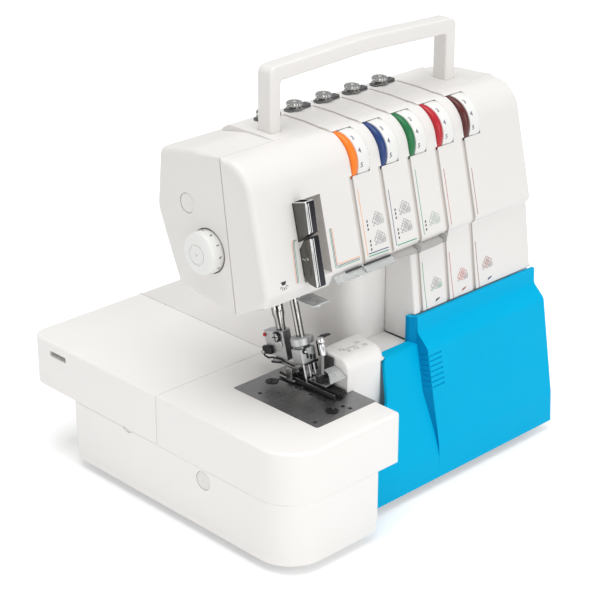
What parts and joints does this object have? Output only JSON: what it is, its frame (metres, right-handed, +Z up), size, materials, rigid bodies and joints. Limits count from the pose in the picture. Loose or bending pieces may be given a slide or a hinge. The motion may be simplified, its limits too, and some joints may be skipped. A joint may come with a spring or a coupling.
{
  "type": "serger overlock machine",
  "caption": "Desktop serger and coverstitch machine with extension table, drop-front looper cover, row of tension dials, slanted threading face, leaning needle bar and carry handle",
  "frame": {"origin": "centre of the resting plane, under the middle of the overall box", "axes": "+X to the operator's right (handwheel side), +Y away from the operator, +Z up"},
  "size_m": [0.3562, 0.313, 0.3577],
  "materials": {
    "white_plastic": "satin",
    "inner_plastic": "matt",
    "black_rubber": "matt",
    "blue_plastic": "gloss",
    "brushed_plate": "brushed",
    "steel": "satin",
    "chrome": "polished",
    "grey_metal": "cast",
    "dark_steel": "blackened",
    "casting": "cast",
    "motor_case": "satin",
    "black_plastic": "satin",
    "pale_plastic": "gloss",
    "orange_plastic": "gloss",
    "dark_blue_plastic": "gloss",
    "green_plastic": "gloss",
    "red_plastic": "gloss",
    "maroon_plastic": "gloss",
    "clear_plastic": "clear"
  },
  "bodies": {
    "machine": {"base_pan": "inner_plastic", "rubber_feet": "black_rubber", "left_body": "white_plastic", "front_table": "white_plastic", "rear_housing": "white_plastic", "looper_bay": "inner_plastic", "ruler_cover": "white_plastic", "needle_plate": "brushed_plate", "plate_screws": "dark_steel", "hinge_pins": "steel", "front_cover": "white_plastic", "rear_shell": "white_plastic", "top_cover": "white_plastic", "thread_posts": "steel", "carry_handle": "white_plastic", "dial_shaft": "steel", "takeup_guard": "chrome", "guide_plate": "brushed_plate", "clear_guide": "clear_plastic", "guide_rail": "brushed_plate", "screw_caps": "white_plastic", "frame_casting": "casting", "motor": "motor_case", "drive_belt": "black_rubber", "power_inlet": "black_plastic"},
    "table": {"extension_table": "white_plastic"},
    "cover": {"looper_cover": "blue_plastic"},
    "pressure": {"pressure_knob": "white_plastic"},
    "takeup": {"takeup_lever": "chrome"},
    "presser": {"presser_bar": "steel", "foot_holder": "grey_metal", "presser_foot": "steel", "foot_screw": "dark_steel"},
    "needle": {"needle_bar": "steel", "needle_clamp": "grey_metal", "needles": "steel", "clamp_screws": "dark_steel"},
    "feed": {"feed_dogs": "steel"},
    "looper_a": {"lower_looper": "steel"},
    "looper_b": {"upper_looper": "steel"},
    "wheel": {"main_shaft": "steel", "handwheel": "white_plastic"},
    "rotor": {"motor_pulley": "steel"},
    "stitch": {"stitch_dial": "pale_plastic"},
    "lever": {"feed_lever": "black_plastic"},
    "switch": {"power_switch": "black_plastic"},
    "tension_1": {"dial_1": "pale_plastic", "ring_1": "orange_plastic"},
    "tension_2": {"dial_2": "pale_plastic", "ring_2": "dark_blue_plastic"},
    "tension_3": {"dial_3": "pale_plastic", "ring_3": "green_plastic"},
    "tension_4": {"dial_4": "pale_plastic", "ring_4": "red_plastic"},
    "tension_5": {"dial_5": "pale_plastic", "ring_5": "maroon_plastic"}
  },
  "joints": [
    {"name": "table_pull", "type": "slide", "parent": "machine", "child": "table", "axis": [-1, 0, 0], "range_m": [0, 0.06]},
    {"name": "cover_hinge", "type": "hinge", "parent": "machine", "child": "cover", "pos_m": [0.05185, -0.1225, 0.015], "axis": [1, 0, 0], "range_deg": [0, 78]},
    {"name": "dial_turn_1", "type": "hinge", "parent": "machine", "child": "tension_1", "pos_m": [-0.03375, -0.0625, 0.2786], "axis": [1, 0, 0], "range_deg": [-150, 150]},
    {"name": "dial_turn_2", "type": "hinge", "parent": "machine", "child": "tension_2", "pos_m": [-0.00155, -0.0625, 0.2786], "axis": [1, 0, 0], "range_deg": [-150, 150]},
    {"name": "dial_turn_3", "type": "hinge", "parent": "machine", "child": "tension_3", "pos_m": [0.03065, -0.0625, 0.2786], "axis": [1, 0, 0], "range_deg": [-150, 150]},
    {"name": "dial_turn_4", "type": "hinge", "parent": "machine", "child": "tension_4", "pos_m": [0.06285, -0.0625, 0.2786], "axis": [1, 0, 0], "range_deg": [-150, 150]},
    {"name": "dial_turn_5", "type": "hinge", "parent": "machine", "child": "tension_5", "pos_m": [0.09505, -0.0625, 0.2786], "axis": [1, 0, 0], "range_deg": [-150, 150]},
    {"name": "pressure_turn", "type": "hinge", "parent": "machine", "child": "pressure", "pos_m": [-0.14815, -0.035, 0.225], "axis": [1, 0, 0], "range_deg": [-150, 150]},
    {"name": "presser_lift", "type": "slide", "parent": "machine", "child": "presser", "axis": [0, 0.2588, 0.9659], "range_m": [0, 0.006]},
    {"name": "needle_stroke", "type": "slide", "parent": "machine", "child": "needle", "axis": [0, -0.2588, -0.9659], "range_m": [-0.014, 0.012]},
    {"name": "takeup_stroke", "type": "slide", "parent": "machine", "child": "takeup", "axis": [0, -0.229, -0.9734], "range_m": [-0.0036, 0.0032]},
    {"name": "feed_stroke", "type": "slide", "parent": "machine", "child": "feed", "axis": [0, 1, 0], "range_m": [-0.0018, 0.0016]},
    {"name": "lower_looper_swing", "type": "hinge", "parent": "machine", "child": "looper_a", "pos_m": [-0.06615, -0.0875, 0.046], "axis": [0, 1, 0], "range_deg": [-7, 6]},
    {"name": "upper_looper_swing", "type": "hinge", "parent": "machine", "child": "looper_b", "pos_m": [-0.10215, -0.0635, 0.046], "axis": [0, 1, 0], "range_deg": [-7, 6]},
    {"name": "wheel_turn", "type": "hinge", "parent": "machine", "child": "wheel", "pos_m": [0.15885, -0.0065, 0.078], "axis": [1, 0, 0], "continuous": true},
    {"name": "motor_spin", "type": "hinge", "parent": "machine", "child": "rotor", "pos_m": [0.11485, 0.0835, 0.052], "axis": [1, 0, 0], "continuous": true},
    {"name": "stitch_turn", "type": "hinge", "parent": "machine", "child": "stitch", "pos_m": [0.16185, 0.0655, 0.078], "axis": [1, 0, 0], "range_deg": [-150, 150]},
    {"name": "feed_set", "type": "slide", "parent": "machine", "child": "lever", "axis": [0, 0, 1], "range_m": [-0.009, 0.016]},
    {"name": "switch_rock", "type": "hinge", "parent": "machine", "child": "switch", "pos_m": [0.15485, 0.1165, 0.037], "axis": [0, 1, 0], "range_deg": [0, 14]}
  ],
  "couplings": [
    {"joint": "takeup_stroke", "follows": "needle_stroke", "ratio": 0.25},
    {"joint": "feed_stroke", "follows": "needle_stroke", "ratio": 0.12},
    {"joint": "lower_looper_swing", "follows": "needle_stroke", "rad_per_m": 8},
    {"joint": "upper_looper_swing", "follows": "needle_stroke", "rad_per_m": 8},
    {"joint": "motor_spin", "follows": "wheel_turn", "ratio": 3}
  ]
}
